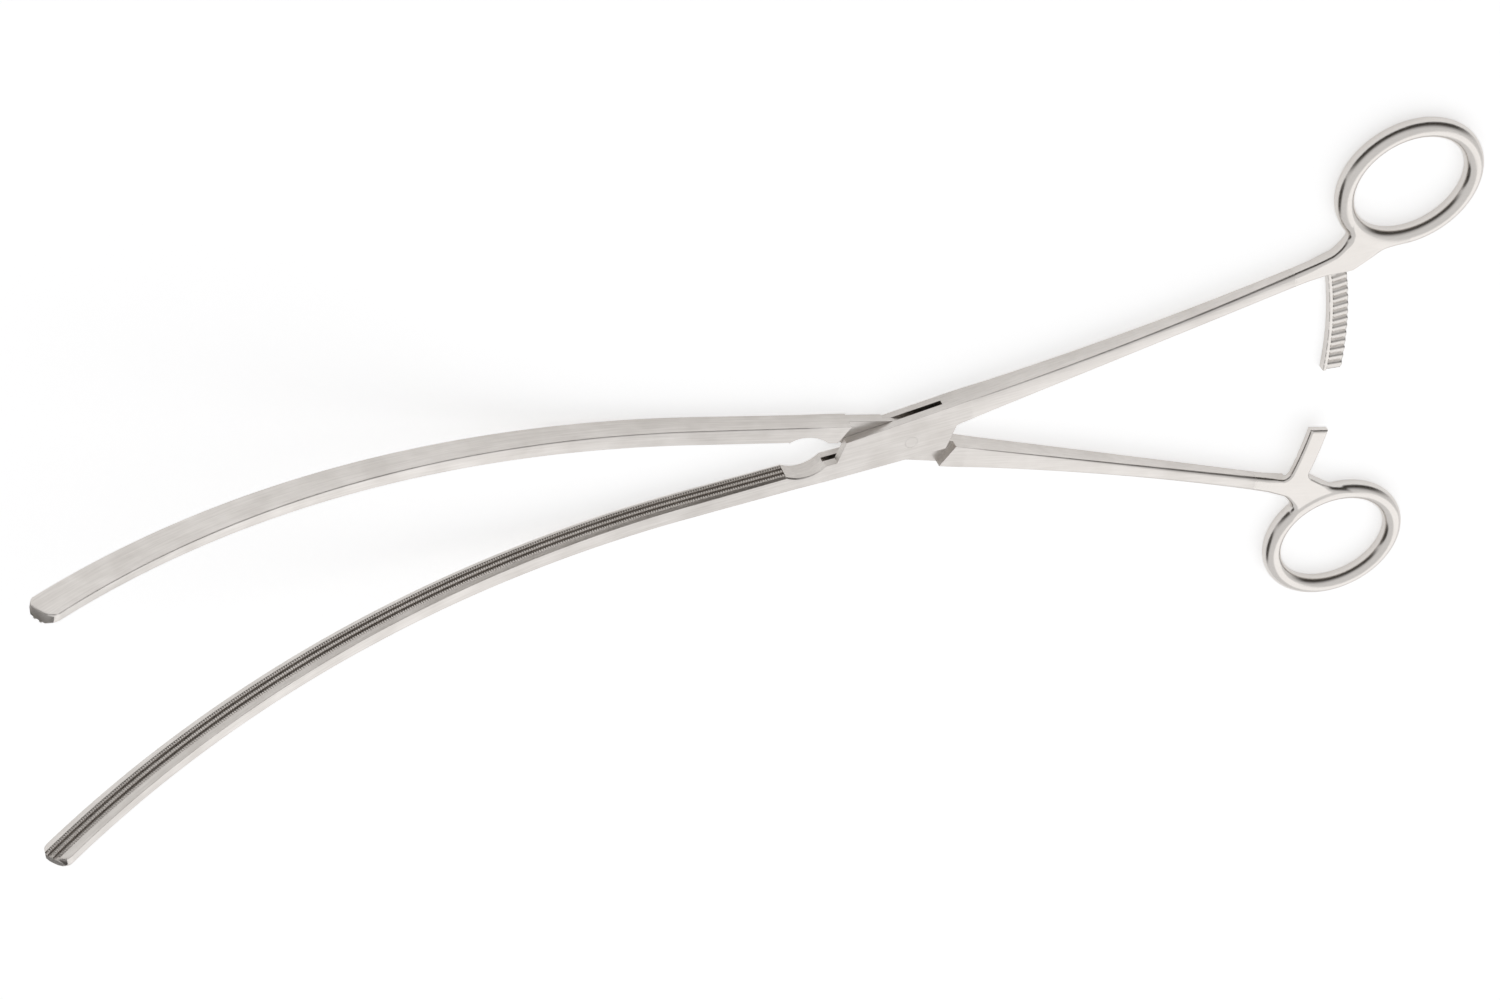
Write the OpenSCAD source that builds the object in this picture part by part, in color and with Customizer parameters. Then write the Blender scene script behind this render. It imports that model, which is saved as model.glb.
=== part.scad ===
// Long curved ring-handled clamp with a box lock and a ratchet.
// Millimetres. +X runs to the tips, +Z is the pivot axis and +Y is the side
// that the female half's jaw opens to. The origin is on the pivot axis, at the
// underside of the box lock. Each half is drawn shut, with the parting plane at
// y = 0, and then turned. The female half holds the pin and has a slot between
// two cheeks; the male half's web passes through that slot and turns on the pin.

/* [Opening] */
// Angle between the two halves as drawn
open_deg = 17.9; // [1:0.1:40]

/* [Box lock] */
// Thickness of the box lock, along the pivot
box_t = 4.8; // [4:0.1:7]
// Thickness of the lower cheek, under the slot
cheek_low_t = 1.65; // [1.2:0.05:2.2]
// Height of the slot between the cheeks
slot_t = 1.3; // [0.9:0.05:1.9]
// Pivot to the upper cheek's front end, along the parting plane
box_front = 16.9; // [15.5:0.1:18]
// Pivot to the lower cheek's front end, along the parting plane
low_front = 8.6; // [7.5:0.1:11]
// Pivot to both cheeks' rear end, along the parting plane
box_rear = 9.9; // [9:0.1:11.5]
// Slant of the cheeks' ends
end_slant = 27; // [15:1:35]
// Pivot to the flank on the shank's side
flank = 6.05; // [5.4:0.05:7]
// Taper of that flank
flank_slant = 4.4; // [2:0.1:6]
// Gap between a cheek's front end and the shoulder that it faces
front_gap = 0.45; // [0.2:0.05:0.8]
// Gap between a cheek's rear end and the shoulder that it faces
rear_gap = 1.9; // [0.5:0.1:2.5]
// Depth of the step under the male half, ahead of the lower cheek
under_step = 0.45; // [0.2:0.05:0.8]

/* [Pivot] */
// Diameter of the pivot pin
pin_d = 2.8; // [2:0.1:4]
// Radial clearance of the male half on the pin
pin_clear = 0.04; // [0.02:0.01:0.08]
// Clearance of the male half's web in the slot, each side
web_clear = 0.05; // [0.03:0.01:0.12]

/* [Jaws] */
// Pivot to the start of the jaws' grip
grip_start = 28.5; // [26:0.5:32]
// Depth of the hollow between box lock and grip
hollow_depth = 1.5; // [0.8:0.1:2]
// Length of that hollow
hollow_len = 9; // [6:0.5:10]
// Pivot to the start of the jaws' bend
bend_start = 50; // [40:1:70]
// Radius of the bend
bend_r = 238; // [200:1:300]
// Angle of the bend
bend_deg = 38.4; // [30:0.2:42]
// Jaw width where the bend starts
jaw_w_bend = 5.3; // [4.6:0.1:6.5]
// Jaw width at the tip
jaw_w_tip = 6.7; // [5:0.1:8]
// Jaw thickness at the box lock
jaw_t_root = 4.4; // [3.6:0.1:5.5]
// Jaw thickness at the tip
jaw_t_tip = 2.4; // [1.8:0.1:3.2]
// Radius of the rounded tip
tip_r = 4.4; // [4.1:0.1:7]

/* [Grip] */
// Parting plane to the edge of each grip's bevels
bevel_y = 0.5; // [0.3:0.05:0.8]
// Width of the bevels
bevel_w = 0.95; // [0.6:0.05:1.2]
// Distance between neighbouring rows on one jaw
row_pitch = 1.45; // [1.3:0.05:1.6]
// Width of the male rows
row_w = 0.55; // [0.4:0.05:0.7]
// Side clearance of a row in its groove
row_clear = 0.1; // [0.08:0.01:0.15]
// Height of the male rows above their face
row_h = 0.6; // [0.4:0.05:0.8]
// Gap between the crests and the faces that they meet, when shut
row_gap = 0.22; // [0.15:0.01:0.3]

/* [Shanks] */
// Parting plane to the shank's inner edge at the box's rear
shank_in = 1.25; // [0.8:0.05:1.8]
// Slope of the inner edge
shank_slope = 0.1425; // [0.12:0.0025:0.16]
// Radius that the outer edge is bowed to
shank_bow_r = 667; // [500:1:900]
// Thickness at the ring end
shank_t_ring = 3.3; // [2.6:0.1:4.2]

/* [Rings] */
// Pivot to the ring's centre, along the instrument
ring_x = 117; // [112:0.5:122]
// Parting plane to the ring's centre
ring_y = 32; // [30:0.5:35]
// Diameter of the ring's round section
ring_d = 4.4; // [3.6:0.1:5]
// Half the oval's length, at the section's centre
ring_a = 15.3; // [14:0.1:16]
// Half the oval's width, at the section's centre
ring_b = 14; // [12:0.1:15]
// Drop of the rings below the middle of the shanks
ring_drop = 0.4; // [0:0.1:0.8]

/* [Ratchet] */
// Ring's centre to the ratchet bars' front edge, along the instrument
bar_back = 17.7; // [17:0.1:19]
// Width of the bars
bar_w = 4.6; // [3.6:0.1:5]
// Angle from the parting plane to the female bar's end
bar_end_deg = 8.9; // [6:0.1:9.6]
// Gap round the female bar's end in the recess under the male half, when shut
bar_end_gap = 0.35; // [0.3:0.05:1]
// Angle from the parting plane to the male bar's end
male_bar_end_deg = -0.3; // [-1:0.1:2]
// Thickness of the male bar, with its teeth
male_bar_t = 2.2; // [1.9:0.1:2.4]
// Thickness of the female bar, with its teeth
female_bar_t = 2; // [1.7:0.1:2.4]
// Height of the ratchet teeth
tooth_h = 0.5; // [0.3:0.05:0.7]
// Pitch of the teeth about the pivot
tooth_deg = 1.16; // [0.9:0.02:1.4]
// Number of teeth on the female bar
female_teeth = 13; // [6:1:13]
// Number of teeth on the male bar
male_teeth = 4; // [2:1:5]
// Clearance between the two bars' teeth
tooth_gap = 0.2; // [0.1:0.05:0.4]
// Plain strip along both edges of a bar, beside the ends of the teeth
tooth_edge = 0.1; // [0.05:0.05:1]

/* [Hidden] */

// Segments of small circles, and of the long arcs of the jaws
fine = 96;
arc_fine = 1440;
// Spare depth of a cut past a face
eps = 0.5;

mid = box_t / 2;
slot_low = cheek_low_t;
slot_high = cheek_low_t + slot_t;
web_low = slot_low + web_clear;
web_high = slot_high - web_clear;
slant = tan(end_slant);
crest = row_gap / 2;
groove_w = row_w + 2 * row_clear;
bend_z = mid + bend_r;
tip_x = bend_start + bend_r * sin(bend_deg);
tip_z = bend_z - bend_r * cos(bend_deg);
// The bend's two faces have their centres this far fore and aft of the bend's
// own, so that the jaw widens evenly to its tip.
spread = (jaw_w_tip - jaw_w_bend) / 2 / sin(bend_deg);
// The cuts along the jaw run on past the tip by this angle
run_out_deg = 2;
bevel_slope = (bevel_y - crest) / bevel_w;
hollow_x = grip_start - hollow_len / 2;
hollow_r = (pow(hollow_len / 2, 2) + pow(hollow_depth, 2)) / (2 * hollow_depth);
mouth_x = grip_start - hollow_len + 0.4;
shank_z_low = mid - shank_t_ring / 2;
shank_z_high = mid + shank_t_ring / 2;
bar_r = ring_x - bar_back;
bar_out_r = bar_r + bar_w;
bar_mid_r = bar_r + bar_w / 2;
plate_x = bar_r - 5;
// The plate's inner edge lies this far inside the shank's line behind the bar
plate_in = 1.5;
relief_deg = bar_end_deg + asin(bar_end_gap / bar_r);
bar_root_deg = asin((shank_inner(bar_mid_r) + 1.2) / bar_mid_r);
male_crest_z = shank_z_high - male_bar_t;
female_crest_z = male_crest_z - tooth_gap;
relief_z = female_crest_z + tooth_gap / 2;
rear_line = box_rear + rear_gap;

// Distance of the shank's inner and outer edges from the parting plane
function shank_inner(x) = shank_in + shank_slope * (x - box_rear);
function shank_outer(x) =
    let (d = x - box_rear)
    flank_at(-box_rear) + 0.8 * tan(flank_slant) * d + d * d / (2 * shank_bow_r);
// Distance of the box's flank on the shank's side
function flank_at(x) = flank - x * tan(flank_slant);
// Thickness of the jaw along it
function jaw_back(x) =
    jaw_t_root + (jaw_t_tip - jaw_t_root) * (x - box_front) / (tip_x - box_front);
// Point of a slanted line that crosses the parting plane at x
function on_slant(x, y, way = 1) = [x + way * y * slant, y];

// A half's points in plan, drawn with the jaw on +Y and the shank on -Y. They
// stay so on the female half, whose way is 1, and change sides on the male
// half, whose way is -1.
function turned(points, way) = [for (p = points) [p[0], way * p[1]]];

// Edges of a half in plan
function jaw_edge() =
    let (end = tip_x + 2 * tip_r)
    [[end, crest], [end, jaw_back(end)], [box_front, jaw_t_root]];
function shank_edges(start, steps = 18) =
    let (xs = [for (i = [0:steps]) start + (plate_x - start) * i / steps])
    concat([for (x = xs) [-x, -shank_inner(x)]],
           [for (i = [steps:-1:0]) [-xs[i], -shank_outer(xs[i])]]);

// Side view of a jaw and its shank: thickness along the pivot
module side_view() {
    polygon([
        [bend_start - spread, mid + jaw_w_bend / 2], [box_front, box_t], [-box_rear, box_t],
        [-plate_x, shank_z_high], [-plate_x - 2, shank_z_high],
        [-plate_x - 2, shank_z_low], [-plate_x, shank_z_low], [-box_rear, 0],
        [box_front, 0], [bend_start + spread, mid - jaw_w_bend / 2]
    ]);
    difference() {
        intersection() {
            translate([bend_start + spread, bend_z])
                circle(r = bend_r + jaw_w_bend / 2, $fn = arc_fine);
            polygon([
                [bend_start - spread, mid + jaw_w_bend / 2],
                [bend_start + spread, mid - jaw_w_bend / 2],
                [bend_start + spread, -bend_r / 2],
                [tip_x + bend_r / 2, -bend_r / 2],
                [tip_x + bend_r / 2, tip_z + bend_r / 4],
                [bend_start, tip_z + bend_r / 4]
            ]);
        }
        translate([bend_start - spread, bend_z])
            circle(r = bend_r - jaw_w_bend / 2, $fn = arc_fine);
        translate([tip_x, tip_z]) rotate(bend_deg) translate([-tip_r, 0]) difference() {
            translate([0, -bend_r]) square([2 * bend_r, 2 * bend_r]);
            circle(r = tip_r, $fn = fine);
        }
    }
}

// Blank of a half: its outline in plan, cut to its side view
module blank(outline) {
    intersection() {
        translate([0, 0, -eps]) linear_extrude(height = tip_z + 2 * jaw_w_tip) polygon(outline);
        side_slab();
    }
}

// The side view, drawn out across both halves
module side_slab() {
    rotate([90, 0, 0]) linear_extrude(height = 2 * ring_y, center = true) side_view();
}

// Runs a profile along the grip. Its first axis is the distance from the
// jaw's middle to the outside of the bend, its second is Y.
module along_grip(shift) {
    turn = bend_deg + run_out_deg;
    translate([bend_start + shift, 0, bend_z]) rotate([-90, 0, 0]) rotate(90 - turn)
        rotate_extrude(angle = turn, $fn = arc_fine) translate([bend_r, 0]) children();
    translate([grip_start, 0, mid]) rotate([0, 90, 0])
        linear_extrude(height = bend_start + shift - grip_start) children();
}

// Cutter for the bevel along one edge of the grip: side 1 is outside the bend
module bevel_cut(side, way) {
    edge = jaw_w_bend / 2;
    along_grip(side * spread)
        polygon(turned([
            [side * (edge - bevel_w - eps), crest - eps * bevel_slope],
            [side * (edge + 2 * eps), bevel_y + 2 * eps * bevel_slope],
            [side * (edge + 2 * eps), crest - eps], [side * (edge - bevel_w - eps), crest - eps]
        ], way));
}

// Strip of the grip, this wide and between two heights from the parting plane
module grip_strip(middle, width, low, high, way) {
    along_grip(0)
        polygon(turned([
            [middle - width / 2, low], [middle + width / 2, low],
            [middle + width / 2, high], [middle - width / 2, high]
        ], way));
}

// Hollow between the box lock and the grip
module hollow_cut(way) {
    translate([hollow_x, way * (crest + hollow_depth - hollow_r), -eps])
        cylinder(r = hollow_r, h = box_t + 2 * eps, $fn = 2 * fine);
}

// Finger ring: a round section swept once round an oval
module ring(way, around = 72, across = 20) {
    points = [
        for (i = [0:around - 1], j = [0:across - 1])
            let (t = 360 * i / around, u = 360 * j / across)
            let (out = [ring_b * cos(t), ring_a * sin(t)] / norm([ring_b * cos(t), ring_a * sin(t)]))
            let (r = ring_d / 2 * cos(u))
            [ring_a * cos(t) + r * out[0], ring_b * sin(t) + r * out[1], ring_d / 2 * sin(u)]
    ];
    faces = [
        for (i = [0:around - 1], j = [0:across - 1], half = [0, 1])
            let (a = i * across + j, b = i * across + (j + 1) % across)
            let (c = (a + across) % len(points), d = (b + across) % len(points))
            half == 0 ? [a, b, c] : [b, d, c]
    ];
    translate([-ring_x, -way * ring_y, mid - ring_drop]) polyhedron(points, faces);
}

// Plate that joins the shank, the ratchet bar and the ring
module ring_plate(way) {
    fillet_r = 6.8;
    front = ring_x - ring_a - ring_d / 2;
    steps = 72;
    translate([0, 0, shank_z_low]) linear_extrude(height = shank_t_ring) difference() {
        polygon(turned([
            [-plate_x, -shank_inner(plate_x)],
            [-bar_out_r, -shank_inner(bar_out_r) + plate_in],
            [-bar_out_r - 1, -ring_y + 18], [-bar_out_r - 3.6, -ring_y + 16.4],
            [-ring_x + 4, -ring_y + ring_b + 1],
            [-ring_x, -ring_y + ring_b],
            [-front - 1.6, -ring_y],
            [-front - 0.4, -ring_y + 4],
            [-plate_x, -ring_y + 4],
            [-plate_x, -shank_outer(plate_x)]
        ], way));
        translate([-front + fillet_r - 0.6, -way * (shank_outer(plate_x) + fillet_r + 0.2)])
            circle(r = fillet_r, $fn = fine);
        translate([-plate_x, -way * ring_y]) square([10, 14], center = true);
        // The ring's opening, a little inside its section
        polygon([
            for (i = [0:steps - 1])
                let (t = 360 * i / steps)
                [(ring_a - ring_d / 4) * cos(t) - ring_x,
                 (ring_b - ring_d / 4) * sin(t) - way * ring_y]
        ]);
    }
}

// Ratchet bar: an arc about the pivot, between two heights and two angles
// that count from the parting plane to the bar's own shank
module bar(from, to, low, high, way) {
    translate([0, 0, low]) rotate(180 + (way > 0 ? from : -to))
        rotate_extrude(angle = to - from, $fn = 8 * fine) translate([bar_r, 0])
            square([bar_w, high - low]);
}

// Cutter for the recess under a half's plate, which the other half's bar enters
module bar_relief(way) {
    translate([0, 0, -box_t]) rotate(180 - (way > 0 ? 0 : relief_deg))
        rotate_extrude(angle = relief_deg, $fn = 8 * fine) translate([bar_r - bar_end_gap, 0])
            square([bar_w + 2 * bar_end_gap, box_t + relief_z]);
}

// One saw tooth across a bar, with its steep side to the bar's own shank and
// its foot sunk a little into the bar
module tooth(at, low, height, way) {
    pitch = bar_mid_r * tooth_deg * PI / 180;
    rotate(180 + way * at) translate([bar_r + tooth_edge, 0, low]) rotate([90, 0, 90])
        linear_extrude(height = bar_w - 2 * tooth_edge)
            polygon([[-way * pitch * 0.55, -height / 5], [way * pitch * 0.36, height],
                     [way * pitch * 0.55, -height / 5]]);
}

// Plan of the slot: open on both flanks, between a wall in the root of the
// jaw and a wall in the root of the shank
function slot_region() = [
    [mouth_x, -2 * flank], [mouth_x, crest], [mouth_x - 1.53 * jaw_t_root, jaw_t_root + crest],
    [mouth_x - 1.53 * jaw_t_root, 3 * flank], [-2 * box_rear, 3 * flank],
    [-2 * box_rear, -shank_in], on_slant(-box_rear, -shank_in),
    [-box_rear + 1.9, -flank_at(-box_rear)], [-box_rear + 1.9, -2 * flank]
];

module female_half() {
    front_y = flank_at(box_front);
    root_z = female_crest_z - tooth_h;
    outline = concat(
        jaw_edge(), [on_slant(-box_rear, jaw_t_root), on_slant(-box_rear, -shank_in)],
        shank_edges(box_rear + 2),
        [on_slant(box_front, -front_y), on_slant(box_front, crest)]
    );
    color([0.80, 0.78, 0.76]) difference() {
        union() {
            blank(outline);
            ring_plate(1);
            ring(1);
            bar(-bar_end_deg, bar_root_deg, female_crest_z - female_bar_t, root_z, 1);
            for (i = [0:female_teeth - 1])
                tooth((i + 0.7) * tooth_deg - bar_end_deg, root_z, tooth_h, 1);
        }
        hollow_cut(1);
        for (side = [-1, 1]) {
            bevel_cut(side, 1);
            grip_strip(side * row_pitch / 2, groove_w, crest - eps, crest + row_h, 1);
        }
        translate([0, 0, slot_low]) linear_extrude(height = slot_t) polygon(slot_region());
        // The lower cheek ends short of the upper one
        translate([0, 0, -eps]) linear_extrude(height = slot_low + 2 * eps)
            polygon([on_slant(low_front, crest), on_slant(low_front, -2 * flank),
                     [grip_start, -2 * flank], [grip_start, crest]]);
        translate([0, 0, -eps]) cylinder(d = pin_d, h = box_t + 2 * eps, $fn = fine);
    }
}

// Plan of the region between two shoulders of the male half
function between(rear, front) = turned([
    on_slant(-rear, -3 * flank, -1), on_slant(-rear, 3 * flank, -1),
    on_slant(front, 3 * flank, -1), on_slant(front, -3 * flank, -1)
], -1);

module male_half() {
    web_x = box_front + front_gap;
    root_z = male_crest_z + tooth_h;
    outline = concat(
        jaw_edge(), [[-box_rear + 2.7, jaw_t_root]], shank_edges(box_rear),
        [[web_x - 7.8, -flank_at(web_x - 7.8)], [web_x, 0], [web_x, crest]]
    );
    color([0.78, 0.77, 0.75]) difference() {
        union() {
            blank(turned(outline, -1));
            // Rows on the grip, which the jaw's own face lies back from
            intersection() {
                for (side = [-1, 1])
                    grip_strip(side * row_pitch / 2, row_w, crest - row_h, crest + eps, -1);
                side_slab();
            }
            ring_plate(-1);
            ring(-1);
            bar(male_bar_end_deg, bar_root_deg, root_z, shank_z_high, -1);
            for (i = [0:male_teeth - 1])
                tooth((i + 0.5) * tooth_deg + male_bar_end_deg, root_z, -tooth_h, -1);
        }
        hollow_cut(-1);
        bar_relief(-1);
        for (side = [-1, 1])
            bevel_cut(side, -1);
        // Flats that leave the web between the shoulders
        translate([0, 0, web_high]) linear_extrude(height = box_t)
            polygon(between(rear_line, web_x));
        translate([0, 0, -eps]) linear_extrude(height = web_low + eps) {
            polygon(between(rear_line, low_front + front_gap));
            polygon(turned([
                [low_front - 2, -3 * flank], [grip_start, -3 * flank],
                [grip_start, crest], [low_front - 2, crest]
            ], -1));
        }
        translate([0, 0, -eps]) linear_extrude(height = under_step + eps)
            polygon(between(rear_line, web_x));
        translate([0, 0, -eps])
            cylinder(r = pin_d / 2 + pin_clear, h = box_t + 2 * eps, $fn = fine);
    }
}

module pivot_pin() {
    color([0.70, 0.70, 0.69]) cylinder(d = pin_d, h = box_t, $fn = fine);
}

rotate(open_deg / 2) female_half();
rotate(-open_deg / 2) male_half();
pivot_pin();
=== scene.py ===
import math

import bmesh
import bpy
import numpy as np
from mathutils import Matrix, Vector


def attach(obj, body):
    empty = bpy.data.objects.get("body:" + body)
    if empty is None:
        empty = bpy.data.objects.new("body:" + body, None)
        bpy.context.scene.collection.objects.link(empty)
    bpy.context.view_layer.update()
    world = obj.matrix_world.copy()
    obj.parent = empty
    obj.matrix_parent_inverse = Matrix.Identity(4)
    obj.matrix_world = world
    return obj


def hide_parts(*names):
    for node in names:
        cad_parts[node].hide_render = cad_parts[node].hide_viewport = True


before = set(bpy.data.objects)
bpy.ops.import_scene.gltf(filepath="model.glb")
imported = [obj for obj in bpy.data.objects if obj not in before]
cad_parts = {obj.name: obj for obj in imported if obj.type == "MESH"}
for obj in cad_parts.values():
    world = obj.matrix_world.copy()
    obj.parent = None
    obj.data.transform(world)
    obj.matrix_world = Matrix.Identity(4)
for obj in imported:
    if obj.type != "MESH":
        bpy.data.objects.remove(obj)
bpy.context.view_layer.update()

# Female half
# One stainless steel forging: the grooved jaw, the box lock with its slot, the
# shank, the ratchet bar and the finger ring. It is milled, ground lengthwise
# and polished at the ring, and the pin is pressed through its two cheeks.

# Lengths are in mm and angles in degrees. A half is drawn shut, then turned open.
MM = 0.001
OPEN_DEG = 17.9
BOX_T = 4.8
BOX_FRONT = 16.9
BOX_REAR = 9.9
MID = BOX_T / 2

# The jaw: bend, width, thickness, tip, rows and teeth, and the painted shade in its grooves and
# valleys.
GRIP_START = 28.5
HOLLOW_DEPTH = 1.5
HOLLOW_LEN = 9.0
BEND_START = 50.0
BEND_R = 238.0
BEND_DEG = 38.4
JAW_W_BEND = 5.3
JAW_W_TIP = 6.7
JAW_T_ROOT = 4.4
JAW_T_TIP = 2.4
TIP_R = 4.4
TIP_CORNER_R = 1.9
TIP_BEVEL = 0.35
TIP_BACK = 0.1
TIP_BOW = 0.035
CREST = 0.11
BEVEL_Y = 0.5
ROWS_HALF = 1.82
ROW_PITCH = 1.45
ROW_W = 0.55
GROOVE_W = 0.75
ROW_H = 0.6
ROW_DRAFT = 0.04
GROOVE_DRAFT = 0.06
LAND_DRAFT = 0.03
FINE_PITCH = 0.56
FINE_DEPTH = 0.28
# Painted shade mixed into the steel's colour: on the grooves' floors, in the valleys between
# cross teeth and at the rows' feet.
GROOVE_SHADE = 0.55
VALLEY_SHADE = 0.5
ROW_FOOT_SHADE = 0.5
JAW_EDGE_R = 0.3
EDGE_RAMP = 6.0
SMOOTH_STEP = 0.45
GRIP_STEP = 0.01
BACK_PARTS = 6

# The box lock: its slot's walls with their painted shade, and where jaw and shank are sewn to it.
# Heights of the slot's walls, and how much painted shade they get.
SLOT_LOW = 1.64
SLOT_HIGH = 2.96
SLOT_SHADE = 0.5
LOCK_FRONT = 20.4
LOCK_REAR = 14.0
LOCK_EDGE_R = 0.02
SEAM = 0.3
WELD = 0.0005
CUT_LIMIT = 1e-5

tip_s = BEND_START + BEND_R * math.radians(BEND_DEG)
tip_x = BEND_START + BEND_R * math.sin(math.radians(BEND_DEG))
bend_z = MID + BEND_R
spread = (JAW_W_TIP - JAW_W_BEND) / 2 / math.sin(math.radians(BEND_DEG))


def cut_off(shell, x, side):
    """Cuts off what lies past a plane across X and leaves the cut open."""
    everything = shell.verts[:] + shell.edges[:] + shell.faces[:]
    bmesh.ops.bisect_plane(shell, geom=everything, plane_co=(x, 0, 0), plane_no=(side, 0, 0),
                           clear_outer=True, dist=CUT_LIMIT)


def shell_data(shell):
    """Points and faces of a shell, and the points of its open rims."""
    shell.verts.index_update()
    points = np.array([vert.co[:] for vert in shell.verts])
    faces = [[vert.index for vert in face.verts] for face in shell.faces]
    rim = sorted({vert.index for edge in shell.edges if edge.is_boundary for vert in edge.verts})
    shell.free()
    return points, faces, rim


def around(points, rim):
    """Angle of each rim point about the rim's middle, seen along X, in order."""
    ring = points[rim][:, 1:]
    middle = (ring.min(axis=0) + ring.max(axis=0)) / 2
    angle = np.arctan2(ring[:, 1] - middle[1], ring[:, 0] - middle[0])
    order = np.argsort(angle)
    return [rim[i] for i in order], angle[order]


def sewn(points, rim_a, rim_b):
    """Triangles that sew two rims side by side into one skin."""
    (rim_a, turn_a), (rim_b, turn_b) = around(points, rim_a), around(points, rim_b)
    faces = []
    i = j = 0
    while i < len(rim_a) or j < len(rim_b):
        a, b = rim_a[i % len(rim_a)], rim_b[j % len(rim_b)]
        if j >= len(rim_b) or (i < len(rim_a) and turn_a[i] <= turn_b[j]):
            i += 1
            faces.append([a, rim_a[i % len(rim_a)], b])
        else:
            j += 1
            faces.append([a, rim_b[j % len(rim_b)], b])
    return faces


def lock_shell(node, way):
    """The box lock, cut out of the frame's own solid and drawn shut in mm. The walls of the slot
    get painted shade, set per face as deep."""
    shell = bmesh.new()
    shell.from_mesh(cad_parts[node].data)
    shut = Matrix.Rotation(math.radians(-way * OPEN_DEG / 2), 4, "Z")
    shell.transform(Matrix.Diagonal((1, way, 1, 1)) @ shut @ Matrix.Scale(1 / MM, 4))
    bmesh.ops.remove_doubles(shell, verts=shell.verts, dist=WELD)
    cut_off(shell, LOCK_FRONT, 1)
    cut_off(shell, -LOCK_REAR, -1)
    points, faces, rim = shell_data(shell)
    heights = [points[face][:, 2] for face in faces]
    # Painted shade on the faces of the slot's walls, between SLOT_LOW and SLOT_HIGH.
    deep = [SLOT_SHADE if way > 0 and SLOT_LOW <= z.min() and z.max() <= SLOT_HIGH else 0.0
            for z in heights]
    return points, faces, rim, [0.0] * len(points), points, deep


def corner(across, up, r, start, steps=4):
    """Quarter round about (across, up), from this angle in degrees."""
    turns = [math.radians(start + 90 * i / steps) for i in range(steps + 1)]
    return [(across + r * math.cos(turn), up + r * math.sin(turn)) for turn in turns]


def jaw_place(s):
    """Middle of the jaw at this length: x, z, the bend there and half its width."""
    if s < BEND_START:
        share = (s - BOX_FRONT) / (BEND_START - BOX_FRONT)
        return s, MID, 0.0, (BOX_T + (JAW_W_BEND - BOX_T) * share) / 2
    turn = (s - BEND_START) / BEND_R
    half = JAW_W_BEND / 2 + spread * math.sin(turn)
    return (BEND_START + BEND_R * math.sin(turn), bend_z - BEND_R * math.cos(turn), turn, half)


def jaw_profile(s, half, x, cut, rows_out, inset):
    """Loop of (up, y, recess) points round the jaw, where recess is the painted shade at that
    point. cut is 1 in the valley between two cross teeth and 0 on a tooth, inset draws the end's
    edges in."""
    back = JAW_T_ROOT + (JAW_T_TIP - JAW_T_ROOT) * (x - BOX_FRONT) / (tip_x - BOX_FRONT) - inset
    half -= inset
    grip = s > GRIP_START
    face = CREST
    if not grip:
        r = ((HOLLOW_LEN / 2) ** 2 + HOLLOW_DEPTH ** 2) / (2 * HOLLOW_DEPTH)
        off = s - (GRIP_START - HOLLOW_LEN / 2)
        face = max(CREST, CREST + HOLLOW_DEPTH - r + math.sqrt(max(r * r - off * off, 0)))
    ramp = min(1, max(0, (s - LOCK_FRONT) / EDGE_RAMP))
    edge_r = LOCK_EDGE_R + (JAW_EDGE_R - LOCK_EDGE_R) * ramp
    bevel_w = half - ROWS_HALF if grip else edge_r
    bevel_y = BEVEL_Y if grip else face + edge_r
    tooth = face + FINE_DEPTH * cut * grip
    top = tooth if not rows_out else face
    # Painted shade in the valleys between cross teeth.
    valley = VALLEY_SHADE * cut
    loop = [(-half, bevel_y, 0), (-half + bevel_w, face, 0),
            (-half + bevel_w + LAND_DRAFT, top, valley)]
    for middle in (-ROW_PITCH / 2, ROW_PITCH / 2):
        if rows_out:
            peak = face - (ROW_H - FINE_DEPTH * cut) * grip
            wide = ROW_W / 2
            loop += [(middle - wide - ROW_DRAFT, face, ROW_FOOT_SHADE), (middle - wide, peak, 0),
                     (middle + wide, peak, 0), (middle + wide + ROW_DRAFT, face, ROW_FOOT_SHADE)]
        else:
            deep = face + ROW_H * grip
            wide = GROOVE_W / 2
            floor_shade = GROOVE_SHADE * grip
            loop += [(middle - wide, tooth, valley),
                     (middle - wide + GROOVE_DRAFT, deep, floor_shade),
                     (middle + wide - GROOVE_DRAFT, deep, floor_shade),
                     (middle + wide, tooth, valley)]
    loop += [(half - bevel_w - LAND_DRAFT, top, valley), (half - bevel_w, face, 0),
             (half, bevel_y, 0)]
    loop += [(*spot, 0) for spot in corner(half - edge_r, back - edge_r, edge_r, 0)]
    loop += [(half * (1 - 2 * i / BACK_PARTS), back, 0) for i in range(1, BACK_PARTS)]
    loop += [(*spot, 0) for spot in corner(-half + edge_r, back - edge_r, edge_r, 90)]
    return loop


def tip_reach(up):
    """How far the rounded tip lies back at this distance from the jaw's middle."""
    over = max(abs(up) - (JAW_W_TIP / 2 - TIP_CORNER_R), 0)
    corner_back = math.sqrt(max(TIP_CORNER_R ** 2 - over ** 2, 0))
    return TIP_BACK + TIP_BOW * up * up + TIP_CORNER_R - corner_back


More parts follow.
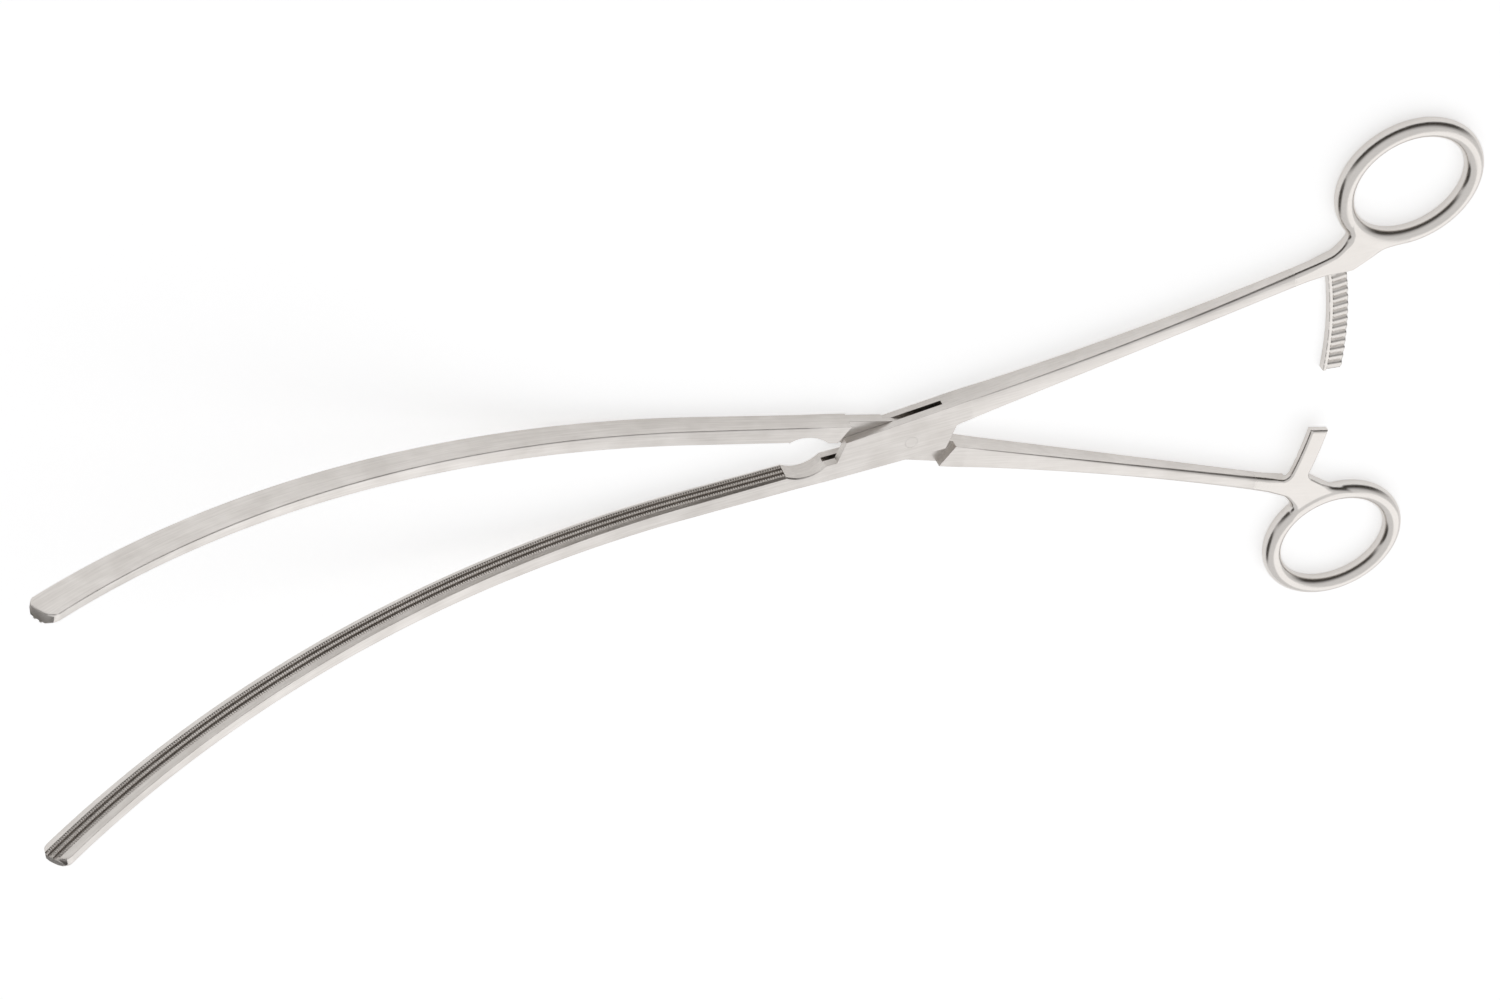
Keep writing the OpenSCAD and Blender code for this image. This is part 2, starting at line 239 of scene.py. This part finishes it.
def jaw_shell(rows_out):
    """The jaw from the box lock to its tip, drawn shut in mm."""
    smooth = np.arange(LOCK_FRONT + SEAM, GRIP_START, SMOOTH_STEP)
    grip_from = GRIP_START + GRIP_STEP
    stations = [(s, 0, 0) for s in smooth] + [(GRIP_START, 0, 0), (grip_from, 1, 0)]
    count = int((tip_s - TIP_BEVEL - GRIP_START) / FINE_PITCH * 2)
    stations += [(grip_from + FINE_PITCH / 2 * (i + 1), (i + 1) % 2 == 0, 0)
                 for i in range(count - 1)]
    cut = stations[-1][1]
    stations += [(tip_s - TIP_BEVEL, cut, 0), (tip_s - TIP_BEVEL * 0.3, cut, TIP_BEVEL * 0.3),
                 (tip_s, cut, TIP_BEVEL)]
    points, recess, place = [], [], []
    tip_from = tip_s - TIP_R
    for s, cut, inset in stations:
        x, z, turn, half = jaw_place(s)
        for up, y, deep in jaw_profile(s, half, x, cut, rows_out, inset):
            along = s
            if s > tip_from:
                along = tip_from + (s - tip_from) * (TIP_R - tip_reach(up)) / TIP_R
            px, pz, pturn, _ = jaw_place(along)
            points.append((px - up * math.sin(pturn), y, pz + up * math.cos(pturn)))
            # recess carries each point's painted shade.
            recess.append(deep)
            place.append((along, y, MID + up))
    size = len(points) // len(stations)
    faces = tube_faces(len(stations), size)
    faces.append(list(range(len(points) - size, len(points))))
    return np.array(points), faces, list(range(size)), recess, np.array(place)


def tube_faces(rings, size):
    """Faces of a swept tube whose rings run one way round, open at its ends."""
    faces = []
    for i in range(rings - 1):
        for j in range(size):
            a = i * size + j
            b = i * size + (j + 1) % size
            faces.append([a, b, b + size, a + size])
    return faces


# The shank: inner and outer edge, thickness, and the round of its edges.
SHANK_IN = 1.25
SHANK_SLOPE = 0.1425
SHANK_BOW_R = 667.0
SHANK_T_RING = 3.3
FLANK = 6.05
FLANK_SLANT = 4.4
FLANK_SHARE = 0.8
PLATE_X = 94.3
SHANK_END = 90.0
SHANK_R_LOCK = 0.18
SHANK_R_RING = 1.15
ROUND_RAMP = 5.0
ROUND_GROWTH = 1.3
SHANK_STATIONS = 90
ROUND_STEPS = 6

flank_slope = math.tan(math.radians(FLANK_SLANT))


def shank_inner(x):
    """Edge of the shank on the side of the other half."""
    return SHANK_IN + SHANK_SLOPE * (x - BOX_REAR)


def shank_outer(x):
    """Outer edge of the shank, slightly bowed."""
    d = x - BOX_REAR
    slant = FLANK_SHARE * flank_slope * d
    return FLANK + BOX_REAR * flank_slope + slant + d * d / (2 * SHANK_BOW_R)


def shank_half_t(x):
    """Half the shank's thickness."""
    share = np.clip((x - BOX_REAR) / (PLATE_X - BOX_REAR), 0, 1)
    return (BOX_T + (SHANK_T_RING - BOX_T) * share) / 2


def shank_round(x):
    """Radius of the shank's edges: crisp at the lock, round at the ring."""
    share = np.clip((x - LOCK_REAR) / (SHANK_END - LOCK_REAR), 0, 1)
    start = np.clip((x - LOCK_REAR) / ROUND_RAMP, 0, 1)
    near_lock = LOCK_EDGE_R + (SHANK_R_LOCK - LOCK_EDGE_R) * start
    return near_lock + (SHANK_R_RING - SHANK_R_LOCK) * share ** ROUND_GROWTH


def ease(low, high, value):
    """Smooth step from 0 at low to 1 at high."""
    share = np.clip((value - low) / (high - low), 0, 1)
    return share * share * (3 - 2 * share)


def shank_shell():
    """The shank from the box lock to the plate at the ring, in mm."""
    stations = np.linspace(LOCK_REAR + SEAM, SHANK_END - SEAM, SHANK_STATIONS)
    points = []
    for x in stations:
        r = float(shank_round(x))
        t = float(shank_half_t(x))
        low = -shank_outer(x)
        high = -shank_inner(x)
        top = MID + t - r
        under = MID - t + r
        loop = corner(high - r, top, r, 0, ROUND_STEPS) + corner(low + r, top, r, 90, ROUND_STEPS)
        loop += corner(low + r, under, r, 180, ROUND_STEPS)
        loop += corner(high - r, under, r, 270, ROUND_STEPS)
        points += [(-x, y, z) for y, z in loop]
    size = len(loop)
    ends = list(range(size)) + list(range(len(points) - size, len(points)))
    return np.array(points), tube_faces(len(stations), size), ends


# The plate, the ring and the ratchet bar, which are drawn as one skin.
RING_X = 117.0
RING_Y = 32.0
RING_A = 15.3
RING_B = 14.0
RING_R = 2.19
RING_Z = 2.0
BAR_R = 99.3
BAR_W = 4.6
BAR_ROOT_DEG = 9.2
RELIEF_DEG = 9.1
RELIEF_GAP = 0.35
RELIEF_Z = 1.75
TOOTH_H = 0.5
TOOTH_DEG = 1.16
TOOTH_RISE = 0.75
TOOTH_DROP = 0.25
TOOTH_SLOPE = 0.85
HANDLE_GRID = 0.22
PLATE_R = 0.6
RING_EDGE_R = 1.6
PLATE_ROUND = 1.2
PLATE_GROW = 4.0
NOTCH_R = 2.6
BAND_HALF = 0.65
BAND_FADE = 3.5
HOLE_EDGE = 0.5
SHANK_LAST = 101
FLANK_LEAN = 0.985
INNER_X = (92, 97)
INNER_Y = (-2.5, 0.5)
RING_NEAR = (2.2, 5.5)
TUBE_FILLET = 0.6
BAR_FILLET = 1.5
BAR_GROW = 3.0
PLATE = ((97, 14.9), (103.4, 14.3), (107.2, 16.1), (111.5, 17.5), (115, 18.7), (114, 20.5),
         (106.5, 26), (104.9, 24.5), (100.8, 16.7))


def soft_join(a, b, r):
    """Distance to two shapes joined with a round fillet of this radius."""
    fillet = np.hypot(np.maximum(r - a, 0), np.maximum(r - b, 0))
    return np.maximum(r, np.minimum(a, b)) - fillet


def polygon_distance(x, y, corners):
    """Signed distance in a plane to a polygon."""
    nearest = np.inf
    inside = np.zeros(np.broadcast(x, y).shape, dtype=bool)
    for (ax, ay), (bx, by) in zip(corners, corners[1:] + corners[:1]):
        ex, ey = bx - ax, by - ay
        t = np.clip(((x - ax) * ex + (y - ay) * ey) / (ex * ex + ey * ey), 0, 1)
        nearest = np.minimum(nearest, (x - ax - t * ex) ** 2 + (y - ay - t * ey) ** 2)
        crosses = (ay > y) != (by > y)
        inside ^= crosses & (x < ax + (y - ay) / (ey if ey else 1e-9) * ex)
    nearest = np.sqrt(nearest)
    return np.where(inside, -nearest, nearest)


def rounded(flat, z, half, r):
    """Distance to a plate of this half thickness with rounded edges."""
    side = flat + r
    height = np.abs(z) - (half - r)
    outside = np.hypot(np.maximum(side, 0), np.maximum(height, 0))
    return outside + np.minimum(np.maximum(side, height), 0) - r


def tooth_form(phase):
    """Saw shape of the ratchet teeth: 1 on a crest and 0 in a valley."""
    return np.minimum(phase % 1 / TOOTH_RISE, (1 - phase % 1) / TOOTH_DROP)


def handle_distance(x, y, z, bar):
    """Distance to the shank's end, the plate, the ring and the bar. x runs to
    the ring and y outward."""
    middle = (shank_inner(x) + shank_outer(x)) / 2
    half_w = (shank_outer(x) - shank_inner(x)) / 2
    shank = np.abs(y - middle) * FLANK_LEAN - half_w
    shank = np.maximum(shank, np.maximum(SHANK_END - 1 - x, x - SHANK_LAST))
    ex = (x - RING_X) / RING_A
    ey = (y - RING_Y) / RING_B
    rho = np.sqrt(ex * ex + ey * ey) + 1e-6
    grade = np.sqrt((ex / RING_A) ** 2 + (ey / RING_B) ** 2) + 1e-6
    line = (rho - 1) * rho / grade
    tube = np.hypot(line, z - RING_Z) - RING_R
    plate = polygon_distance(x, y, list(PLATE)) - PLATE_ROUND
    flat = np.where(y > middle, soft_join(shank, plate, NOTCH_R), np.minimum(shank, plate))
    band = np.abs(line) - BAND_HALF + BAND_FADE * ease(0, PLATE_GROW, flat)
    flat = soft_join(flat, band, NOTCH_R)
    flat = np.maximum(flat, -line - HOLE_EDGE)
    r = np.minimum(shank_round(x), SHANK_R_RING)
    inner = ease(*INNER_X, x) * (1 - ease(*INNER_Y, y - middle))
    r = r + (PLATE_R - r) * inner
    r = r + (RING_EDGE_R - r) * (1 - ease(*RING_NEAR, np.abs(line)))
    body = soft_join(rounded(flat, z - MID, shank_half_t(x), r), tube, TUBE_FILLET)

    low, high, start_deg, up, edge_r, margin, teeth = bar
    radius = np.hypot(x, y)
    angle = np.degrees(np.arctan2(y, x))
    middle_r = BAR_R + BAR_W / 2
    arc = (angle - (start_deg + BAR_ROOT_DEG) / 2) * math.radians(1) * middle_r
    half_arc = (BAR_ROOT_DEG - start_deg) / 2 * math.radians(1) * middle_r
    across = np.maximum(np.abs(radius - middle_r) - BAR_W / 2, np.abs(arc) - half_arc)
    strip = np.maximum(soft_join(flat, across, BAR_FILLET), across - BAR_GROW)
    strip = np.maximum(strip, arc - half_arc)
    strip = rounded(strip, z - (low + high) / 2, (high - low) / 2, edge_r)
    phase = (angle - start_deg) / TOOTH_DEG
    tooth = np.where(phase < teeth, tooth_form(phase), 0)
    root = TOOTH_H * (1 - tooth)
    depth = z - high + root if up else low + root - z
    strip = np.maximum(strip, np.minimum(depth * TOOTH_SLOPE, radius - BAR_R - margin))
    both = np.minimum(body, strip)
    if up:
        return both
    recess = np.maximum(np.abs(radius - middle_r) - BAR_W / 2 - RELIEF_GAP, angle - RELIEF_DEG)
    return np.maximum(both, -np.maximum(recess, z - RELIEF_Z))


SKIN_PASSES = 3
SKIN_PROBE = 0.01
FLATTEST = 0.25


def skin(distance, low, high, step):
    """Closed mesh on the zero level of a distance, one point per grid cell. The
    points are then drawn onto that level in a few passes."""
    axes = [np.arange(a, b + step, step) for a, b in zip(low, high)]
    x, y, z = (axis.reshape([-1 if i == k else 1 for i in range(3)])
               for k, axis in enumerate(axes))
    field = distance(x, y, z)
    inside = field < 0
    shape = tuple(n - 1 for n in field.shape)
    total = np.zeros(shape + (3,))
    count = np.zeros(shape)
    for axis in range(3):
        step_to = [0, 0, 0]
        step_to[axis] = 1
        others = [k for k in range(3) if k != axis]
        for i in (0, 1):
            for j in (0, 1):
                at = [0, 0, 0]
                at[others[0]], at[others[1]] = i, j
                a = tuple(slice(p, p + n) for p, n in zip(at, shape))
                b = tuple(slice(p + q, p + q + n) for p, q, n in zip(at, step_to, shape))
                crossing = inside[a] != inside[b]
                fa, fb = field[a][crossing], field[b][crossing]
                place = np.tile(np.array(at, float), (len(fa), 1))
                place[:, axis] = fa / (fa - fb)
                total[crossing] += place
                count[crossing] += 1
    used = count > 0
    number = np.full(shape, -1)
    number[used] = np.arange(used.sum())
    cells = np.argwhere(used)
    points = np.array(low) + step * (cells + total[used] / count[used][:, None])
    faces = []
    for axis in range(3):
        others = [(axis + 1) % 3, (axis + 2) % 3]
        trim = [slice(1, -1)] * 3
        trim[axis] = slice(0, -1)
        a = inside[tuple(trim)]
        ahead = list(trim)
        ahead[axis] = slice(1, None)
        b = inside[tuple(ahead)]
        where = np.argwhere(a != b)
        offset = np.ones(3, int)
        offset[axis] = 0
        where = where + offset
        leaving = inside[tuple(where.T)]
        quad = []
        for du, dv in ((0, 0), (1, 0), (1, 1), (0, 1)):
            cell = where.copy()
            cell[:, others[0]] -= du
            cell[:, others[1]] -= dv
            quad.append(number[tuple(cell.T)])
        quad = np.stack(quad, axis=1)
        quad[~leaving] = quad[~leaving][:, ::-1]
        faces += quad.tolist()
    for _ in range(SKIN_PASSES):
        value = distance(*points.T)
        probes = [points + SKIN_PROBE * np.eye(3)[k] for k in range(3)]
        slope = np.stack([(distance(*probe.T) - value) / SKIN_PROBE for probe in probes], axis=1)
        length = np.maximum((slope ** 2).sum(axis=1), FLATTEST)
        move = -(value / length)[:, None] * slope
        points = points + np.clip(move, -step / 2, step / 2)
    return points, faces


# Where and how deep the painted shade lies between the ratchet teeth.
CREST_CLEAR = 0.1
SHADE_DEPTH = (0.66, 1.0)


def tooth_shade(points, bar):
    """How much painted shade each point gets between the ratchet teeth."""
    low, high, start_deg, up, _, margin, teeth = bar
    x, y, z = -points[:, 0], -points[:, 1], points[:, 2]
    phase = (np.degrees(np.arctan2(y, x)) - start_deg) / TOOTH_DEG
    on_bar = (phase > 0) & (phase < teeth) & (np.hypot(x, y) > BAR_R + margin + CREST_CLEAR)
    reach = TOOTH_H + CREST_CLEAR
    on_bar &= (z > high - reach) if up else (z < low + reach)
    return (on_bar * GROOVE_SHADE * ease(*SHADE_DEPTH, 1 - tooth_form(phase))).tolist()


GRID_X = SHANK_END - 1.6
GRID_Z = (-1.3, 5.2)
GRID_ROOM = 0.8
BAR_ROOM = 2.0
BAR_MM_PER_DEG = 1.85


def handle_shell(bar):
    """Shank end, plate, ring and bar in one skin, in the half's drawn frame."""
    low = (GRID_X, min(bar[2] * BAR_MM_PER_DEG, 0) - BAR_ROOM, GRID_Z[0])
    high = (RING_X + RING_A + RING_R + GRID_ROOM, RING_Y + RING_B + RING_R + GRID_ROOM, GRID_Z[1])
    points, faces = skin(lambda x, y, z: handle_distance(x, y, z, bar), low, high, HANDLE_GRID)
    points[:, 0] *= -1
    points[:, 1] *= -1
    mesh = bpy.data.meshes.new("handle_skin")
    mesh.from_pydata(points.tolist(), [], faces)
    shell = bmesh.new()
    shell.from_mesh(mesh)
    bpy.data.meshes.remove(mesh)
    cut_off(shell, -SHANK_END, 1)
    points, faces, rim = shell_data(shell)
    return points, faces, rim, tooth_shade(points, bar), points


# Edges sharper than this stay sharp: crisp on milled parts, soft on polished ones.
CRISP = 25
SOFT = 60


def half_object(name, shells, way):
    """One mesh object of all the shells, sewn together, turned open, in metres."""
    points, faces, polish, crisp, rims, recess, place, deep = [], [], [], [], [], [], [], []
    for (shell_points, shell_faces, rim, *rest), limit, gloss in shells:
        start = sum(len(p) for p in points)
        points.append(shell_points)
        faces += [[start + index for index in face] for face in shell_faces]
        crisp += [limit] * len(shell_faces)
        polish += [gloss] * len(shell_points)
        rims += [start + index for index in rim]
        # recess holds painted shade per point, deep holds painted shade per face.
        recess += rest[0] if rest else [0.0] * len(shell_points)
        place.append(rest[1] if rest else shell_points)
        deep += rest[2] if len(rest) > 2 else [0.0] * len(shell_faces)
    points = np.vstack(points)
    for seam in (LOCK_FRONT + SEAM / 2, -LOCK_REAR - SEAM / 2, -SHANK_END + SEAM / 2):
        near = [i for i in rims if abs(points[i][0] - seam) < SEAM]
        strip = sewn(points, [i for i in near if points[i][0] < seam],
                     [i for i in near if points[i][0] > seam])
        faces += strip
        crisp += [CRISP] * len(strip)
        deep += [0.0] * len(strip)
    points[:, 1] *= way
    if way < 0:
        faces = [face[::-1] for face in faces]
    turn = math.radians(way * OPEN_DEG / 2)
    x, y, z = points.T
    points = np.stack([x * math.cos(turn) - y * math.sin(turn),
                       x * math.sin(turn) + y * math.cos(turn), z], axis=1) * MM
    mesh = bpy.data.meshes.new(name)
    mesh.from_pydata(points.tolist(), [], faces)
    mesh.polygons.foreach_set("use_smooth", [True] * len(faces))
    mesh.attributes.new("polish", "FLOAT", "POINT").data.foreach_set("value", polish)
    grain_at = mesh.attributes.new("grain_at", "FLOAT_VECTOR", "POINT")
    grain_at.data.foreach_set("vector", (np.vstack(place) * MM).ravel())
    # The recess attribute is painted shade, the larger of the point's and the face's at each
    # corner.
    corners = [max(recess[index], low) for face, low in zip(faces, deep) for index in face]
    mesh.attributes.new("recess", "FLOAT", "CORNER").data.foreach_set("value", corners)
    work = bmesh.new()
    work.from_mesh(mesh)
    bmesh.ops.recalc_face_normals(work, faces=work.faces)
    rims = set(rims)
    for edge in work.edges:
        if len(edge.link_faces) == 2:
            limit = crisp[edge.link_faces[0].index]
            on_rim = edge.verts[0].index in rims and edge.verts[1].index in rims
            if on_rim or edge.calc_face_angle() > math.radians(limit):
                edge.smooth = False
    work.to_mesh(mesh)
    work.free()
    piece = bpy.data.objects.new(name, mesh)
    bpy.context.scene.collection.objects.link(piece)
    return piece


GRAIN_STRETCH = (0.035, 1, 1)
CLOUD_SCALE = 160
LINE_SHARE = 0.55
CLOUD_SHARE = 0.45


def grain_group():
    """Fine lengthwise grinding marks and slow cloudy patches of the polish."""
    group = bpy.data.node_groups.new("ground_steel_grain", "ShaderNodeTree")
    face = group.interface
    face.new_socket("Place", in_out="INPUT", socket_type="NodeSocketVector")
    face.new_socket("Lines per metre", in_out="INPUT", socket_type="NodeSocketFloat")
    face.new_socket("Height", in_out="OUTPUT", socket_type="NodeSocketFloat")
    face.new_socket("Tone", in_out="OUTPUT", socket_type="NodeSocketFloat")
    add = group.nodes.new
    link = group.links.new
    source = add("NodeGroupInput")
    out = add("NodeGroupOutput")
    squeeze = add("ShaderNodeVectorMath")
    squeeze.operation = "MULTIPLY"
    squeeze.inputs[1].default_value = GRAIN_STRETCH
    lines = add("ShaderNodeTexNoise")
    lines.inputs["Detail"].default_value = 3
    lines.inputs["Roughness"].default_value = 0.65
    clouds = add("ShaderNodeTexNoise")
    clouds.inputs["Scale"].default_value = CLOUD_SCALE
    clouds.inputs["Detail"].default_value = 2
    mix = add("ShaderNodeMath")
    mix.operation = "MULTIPLY_ADD"
    mix.inputs[1].default_value = LINE_SHARE
    half = add("ShaderNodeMath")
    half.operation = "MULTIPLY"
    half.inputs[1].default_value = CLOUD_SHARE
    link(source.outputs["Place"], squeeze.inputs[0])
    link(squeeze.outputs[0], lines.inputs["Vector"])
    link(source.outputs["Lines per metre"], lines.inputs["Scale"])
    link(source.outputs["Place"], clouds.inputs["Vector"])
    link(clouds.outputs["Fac"], half.inputs[0])
    link(lines.outputs["Fac"], mix.inputs[0])
    link(half.outputs[0], mix.inputs[2])
    link(lines.outputs["Fac"], out.inputs["Height"])
    link(mix.outputs[0], out.inputs["Tone"])
    return group


grain = grain_group()

STEEL_DARK = (0.645, 0.61, 0.575)
STEEL_LIGHT = (0.845, 0.81, 0.775)
STEEL_MEAN = (0.755, 0.72, 0.685)
# Colour of the painted shade in the jaw's grooves and valleys, the slot and between the ratchet
# teeth.
STEEL_PAINTED_SHADE = (0.22, 0.19, 0.165)
ROUGH_GROUND = 0.3
ROUGH_POLISHED = 0.17
ROUGH_SPOTS = 0.1
CALM_SHARE = 0.75
LINES_PER_METRE = 2600
TONE_RANGE = (0.3, 0.7)
MARK_DEPTH = 0.00002
POLISHED_MARKS = 0.2
WORN_EDGE = 0.00015


def steel(name):
    """Stainless steel, ground along the half and polished where polish is 1, and darkened by
    painted shade where the recess attribute is set.
    """
    material = bpy.data.materials.new(name)
    material.use_nodes = True
    nodes = material.node_tree.nodes
    link = material.node_tree.links.new

    def attribute(of_name):
        node = nodes.new("ShaderNodeAttribute")
        node.attribute_name = of_name
        return node

    def mixed(factor, a, colour):
        node = nodes.new("ShaderNodeMix")
        node.data_type = "RGBA"
        node.inputs["B"].default_value = (*colour, 1)
        link(factor, node.inputs["Factor"])
        link(a, node.inputs["A"])
        return node.outputs["Result"]

    def ranged(value, at_ground, at_polished):
        node = nodes.new("ShaderNodeMapRange")
        node.inputs["To Min"].default_value = at_ground
        node.inputs["To Max"].default_value = at_polished
        link(value, node.inputs["Value"])
        return node.outputs["Result"]

    def multiply(a, b):
        node = nodes.new("ShaderNodeMath")
        node.operation = "MULTIPLY"
        link(a, node.inputs[0])
        if isinstance(b, float):
            node.inputs[1].default_value = b
        else:
            link(b, node.inputs[1])
        return node.outputs[0]

    shader = nodes["Principled BSDF"]
    shader.inputs["Metallic"].default_value = 1.0
    polish = attribute("polish").outputs["Fac"]
    marks = nodes.new("ShaderNodeGroup")
    marks.node_tree = grain
    marks.inputs["Lines per metre"].default_value = LINES_PER_METRE
    link(attribute("grain_at").outputs["Vector"], marks.inputs["Place"])
    tone = nodes.new("ShaderNodeValToRGB")
    tone.color_ramp.elements[0].position = TONE_RANGE[0]
    tone.color_ramp.elements[0].color = (*STEEL_DARK, 1)
    tone.color_ramp.elements[1].position = TONE_RANGE[1]
    tone.color_ramp.elements[1].color = (*STEEL_LIGHT, 1)
    link(marks.outputs["Tone"], tone.inputs["Fac"])
    calm = mixed(multiply(polish, CALM_SHARE), tone.outputs["Color"], STEEL_MEAN)
    # Painted shade: the recess attribute darkens the colour.
    link(mixed(attribute("recess").outputs["Fac"], calm, STEEL_PAINTED_SHADE), shader.inputs["Base Color"])
    spots = nodes.new("ShaderNodeMath")
    spots.operation = "MULTIPLY_ADD"
    spots.inputs[1].default_value = ROUGH_SPOTS
    link(marks.outputs["Tone"], spots.inputs[0])
    link(ranged(polish, ROUGH_GROUND, ROUGH_POLISHED), spots.inputs[2])
    link(spots.outputs[0], shader.inputs["Roughness"])
    relief = nodes.new("ShaderNodeBump")
    relief.inputs["Distance"].default_value = MARK_DEPTH
    height = multiply(marks.outputs["Height"], ranged(polish, 1.0, POLISHED_MARKS))
    link(height, relief.inputs["Height"])
    edge = nodes.new("ShaderNodeBevel")
    edge.samples = 4
    edge.inputs["Radius"].default_value = WORN_EDGE
    link(edge.outputs["Normal"], relief.inputs["Normal"])
    link(relief.outputs["Normal"], shader.inputs["Normal"])
    return material


# Underside, top, end in degrees, teeth on top, edge round, plain strip, teeth.
FEMALE_BAR = (-0.35, 1.65, -8.9, True, 0.15, 0.9, 13)

female = half_object("female_forging", [
    (lock_shell("female_half", 1), CRISP, 0.0),
    (jaw_shell(rows_out=False), CRISP, 0.0),
    (shank_shell(), SOFT, 0.3),
    (handle_shell(FEMALE_BAR), SOFT, 1.0),
], 1)
female.data.materials.append(steel("female_steel"))
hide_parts("female_half")
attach(female, "female")

# Male half
# The other forging, of the same steel. Its two rows fit the female jaw's
# grooves, its web passes through the box lock's slot and turns on the pin, and
# its bar carries its teeth underneath.

# In the order of the female half's bar.
MALE_BAR = (1.85, 4.05, -0.3, False, 0.7, -1.0, 4)

male = half_object("male_forging", [
    (lock_shell("male_half", -1), CRISP, 0.0),
    (jaw_shell(rows_out=True), CRISP, 0.0),
    (shank_shell(), SOFT, 0.3),
    (handle_shell(MALE_BAR), SOFT, 1.0),
], -1)
male.data.materials.append(steel("male_steel"))
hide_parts("male_half")
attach(male, "male")

# Pivot pin
# A plain steel pin, pressed through both cheeks and ground flush with them.

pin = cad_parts["pivot_pin"]
pin.data.materials.clear()
pin_place = pin.data.attributes.new("grain_at", "FLOAT_VECTOR", "POINT")
pin_place.data.foreach_set("vector", [value for vert in pin.data.vertices for value in vert.co])
pin.data.materials.append(steel("pin_steel"))

# Studio
# A white paper sweep under one wide soft lamp. The room's light is a pale tent
# with a dark side low behind the camera and a dark gap, which the steel mirrors.

FLOOR_Z = -0.00036
FLOOR_HALF = 2.5
LAMP_WAY = Vector((-0.62, 0.60, 0.50))
LAMP_FAR = 1.3
LAMP_SIZE = 1.0
LAMP_POWER = 1.3
PAPER = (0.74, 0.74, 0.74, 1)
PAPER_GLOW = 0.56
PAPER_IN_STEEL = 0.46

floor_mesh = bpy.data.meshes.new("sweep")
floor_mesh.from_pydata([(-FLOOR_HALF, -FLOOR_HALF, FLOOR_Z), (FLOOR_HALF, -FLOOR_HALF, FLOOR_Z),
                        (FLOOR_HALF, FLOOR_HALF, FLOOR_Z), (-FLOOR_HALF, FLOOR_HALF, FLOOR_Z)],
                       [], [[0, 1, 2, 3]])
floor = bpy.data.objects.new("sweep", floor_mesh)
bpy.context.scene.collection.objects.link(floor)
paper = bpy.data.materials.new("white_paper")
paper.use_nodes = True
paper_nodes = paper.node_tree.nodes
paper_link = paper.node_tree.links.new
sheet = paper_nodes["Principled BSDF"]
sheet.inputs["Base Color"].default_value = PAPER
sheet.inputs["Roughness"].default_value = 1.0
sheet.inputs["Specular IOR Level"].default_value = 0.0
sheet.inputs["Emission Color"].default_value = (1, 1, 1, 1)
ray = paper_nodes.new("ShaderNodeLightPath")
mirrored = paper_nodes.new("ShaderNodeMath")
mirrored.operation = "MULTIPLY"
mirrored.inputs[1].default_value = PAPER_IN_STEEL
glow = paper_nodes.new("ShaderNodeMath")
glow.operation = "MULTIPLY_ADD"
glow.inputs[1].default_value = PAPER_GLOW
paper_link(ray.outputs["Is Glossy Ray"], mirrored.inputs[0])
paper_link(ray.outputs["Is Camera Ray"], glow.inputs[0])
paper_link(mirrored.outputs[0], glow.inputs[2])
paper_link(glow.outputs[0], sheet.inputs["Emission Strength"])
floor.data.materials.append(paper)

lamp_data = bpy.data.lights.new("soft_lamp", "AREA")
lamp_data.shape = "SQUARE"
lamp_data.size = LAMP_SIZE
lamp_data.energy = LAMP_POWER
lamp = bpy.data.objects.new("soft_lamp", lamp_data)
bpy.context.scene.collection.objects.link(lamp)
lamp.location = LAMP_WAY * LAMP_FAR
lamp.rotation_euler = LAMP_WAY.to_track_quat("Z", "Y").to_euler()

world = bpy.data.worlds.new("studio")
bpy.context.scene.world = world
world.use_nodes = True
wn = world.node_tree.nodes
wl = world.node_tree.links.new
way_in = wn.new("ShaderNodeTexCoord")
split = wn.new("ShaderNodeSeparateXYZ")
wl(way_in.outputs["Generated"], split.inputs[0])


def world_range(source, low, high, to_low, to_high):
    """Smooth step of a value of the world's direction."""
    step = wn.new("ShaderNodeMapRange")
    step.interpolation_type = "SMOOTHSTEP"
    step.inputs["From Min"].default_value = low
    step.inputs["From Max"].default_value = high
    step.inputs["To Min"].default_value = to_low
    step.inputs["To Max"].default_value = to_high
    wl(source, step.inputs["Value"])
    return step.outputs["Result"]


def world_math(operation, a, b):
    """One operation on two values of the world."""
    node = wn.new("ShaderNodeMath")
    node.operation = operation
    wl(a, node.inputs[0])
    wl(b, node.inputs[1])
    return node.outputs[0]


low_down = world_range(split.outputs["Z"], 0.42, 0.88, 1, 0)
this_side = world_range(split.outputs["Y"], -0.4, 0.15, 1, 0)
dot = wn.new("ShaderNodeVectorMath")
dot.operation = "DOT_PRODUCT"
dot.inputs[1].default_value = (0.838, 0.538, 0.1)
wl(way_in.outputs["Generated"], dot.inputs[0])
gap = world_range(dot.outputs["Value"], 0.85, 0.93, 0, 1)
dark = world_math("MAXIMUM", world_math("MULTIPLY", low_down, this_side), gap)
tent = wn.new("ShaderNodeMix")
tent.data_type = "RGBA"
tent.inputs["A"].default_value = (0.75, 0.75, 0.755, 1)
tent.inputs["B"].default_value = (0.05, 0.045, 0.04, 1)
wl(dark, tent.inputs["Factor"])
wl(tent.outputs["Result"], wn["Background"].inputs["Color"])

camera_data = bpy.data.cameras.new("camera")
camera_data.sensor_width = 36
camera_data.lens = 91.926
camera_data.clip_start = 0.05
camera = bpy.data.objects.new("camera", camera_data)
bpy.context.scene.collection.objects.link(camera)
VIEW_RIGHT = (-0.94714, -0.07249, 0.31253)
VIEW_UP = (-0.14444, -0.77348, -0.61714)
VIEW_BACK = (0.28647, -0.62966, 0.72213)
CAMERA_AT = (0.27072, -0.50673, 0.59663)
camera.matrix_world = Matrix([*zip(VIEW_RIGHT, VIEW_UP, VIEW_BACK, CAMERA_AT), (0, 0, 0, 1)])
bpy.context.scene.camera = camera
bpy.context.scene.view_settings.view_transform = "Standard"
